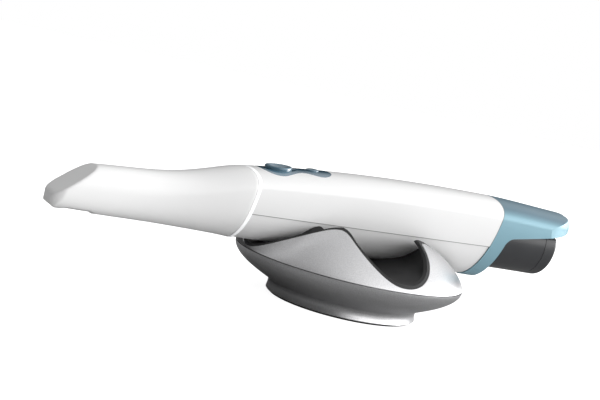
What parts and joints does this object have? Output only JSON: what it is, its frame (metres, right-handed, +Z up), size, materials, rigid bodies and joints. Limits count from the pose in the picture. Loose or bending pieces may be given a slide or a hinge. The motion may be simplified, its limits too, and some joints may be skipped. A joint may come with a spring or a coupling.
{
  "type": "intraoral scanner",
  "caption": "Wireless handheld dental scanner with slip-on mirror tip, scan buttons and pull-out battery, lying in a round weighted desk holder with a crown-shaped rim",
  "frame": {"origin": "Centre of the holder's foot, on the table", "axes": "+X from the scanner's mirror tip to its tail, along the scanner; +Y across it; +Z up"},
  "size_m": [0.2676, 0.1102, 0.0644],
  "materials": {
    "white_shell": "satin white moulding",
    "tip_white": "satin white moulding",
    "ring_white": "milky light guide",
    "panel_blue": "deep blue gloss film",
    "key_blue": "deep blue soft gloss",
    "hood_blue": "see-through pale blue, gloss",
    "battery_grey": "dark grey, satin",
    "cap_grey": "dark grey, satin",
    "gold_contact": "gold plated",
    "bay_black": "black",
    "holder_silver": "silver metallic paint, fine grain",
    "liner_black": "soft black, satin",
    "pad_black": "matt",
    "ballast_steel": "raw",
    "screw_steel": "bright",
    "mirror_silver": "first-surface mirror",
    "glass_clear": "coated glass",
    "snout_grey": "anodised",
    "collar_grey": "grey, satin",
    "seal_black": "satin",
    "board_green": "solder mask",
    "frame_metal": "black-grey anodised",
    "barrel_black": "black anodised",
    "rod_steel": "ground",
    "magnet_nickel": "nickel plated",
    "coil_copper": "enamelled copper",
    "sink_alu": "plain"
  },
  "bodies": {
    "housing": {"holder_upper_shell": "holder_silver", "holder_lower_shell": "holder_silver", "holder_liner": "liner_black", "foot_pad": "pad_black", "ballast_plate": "ballast_steel", "holder_screws": "screw_steel", "handle_upper_shell": "white_shell", "handle_lower_shell": "white_shell", "button_panel": "panel_blue", "button_board": "board_green", "light_ring": "ring_white", "ring_light_board": "board_green", "snout_collar": "collar_grey", "tip_seal": "seal_black", "snout_tube": "snout_grey", "snout_window": "glass_clear", "rear_hood": "hood_blue", "battery_bay": "bay_black", "contact_block": "bay_black", "optics_frame": "frame_metal", "chassis_screws": "screw_steel", "lens_barrel": "barrel_black", "relay_lenses": "glass_clear", "guide_rods": "rod_steel", "focus_magnet": "magnet_nickel", "beam_splitter": "glass_clear", "sensor_board": "board_green", "lamp_board": "board_green", "heat_sink": "sink_alu", "main_board": "board_green"},
    "tip": {"tip_shell": "tip_white", "tip_mirror": "mirror_silver"},
    "scan_key": {"scan_button": "key_blue"},
    "rear_key": {"rear_button": "key_blue"},
    "battery": {"battery_case": "battery_grey", "battery_contacts": "gold_contact", "battery_end_cap": "cap_grey"},
    "focus": {"focus_carriage": "barrel_black", "focus_lens": "glass_clear", "focus_coil": "coil_copper"}
  },
  "joints": [
    {"name": "tip_slide", "type": "slide", "parent": "housing", "child": "tip", "axis": [-1, 0, 0], "range_m": [0, 0.062]},
    {"name": "scan_button_press", "type": "slide", "parent": "housing", "child": "scan_key", "axis": [0.0976, 0, -0.9952], "range_m": [0, 0.0007], "stiffness_N_per_m": 600, "springref_m": -0.0008},
    {"name": "rear_button_press", "type": "slide", "parent": "housing", "child": "rear_key", "axis": [0.0976, 0, -0.9952], "range_m": [0, 0.0007], "stiffness_N_per_m": 600, "springref_m": -0.0008},
    {"name": "battery_slide", "type": "slide", "parent": "housing", "child": "battery", "axis": [1, 0, 0], "range_m": [0, 0.076]},
    {"name": "focus_slide", "type": "slide", "parent": "housing", "child": "focus", "axis": [1, 0, 0], "range_m": [-0.012, 0.006]}
  ]
}
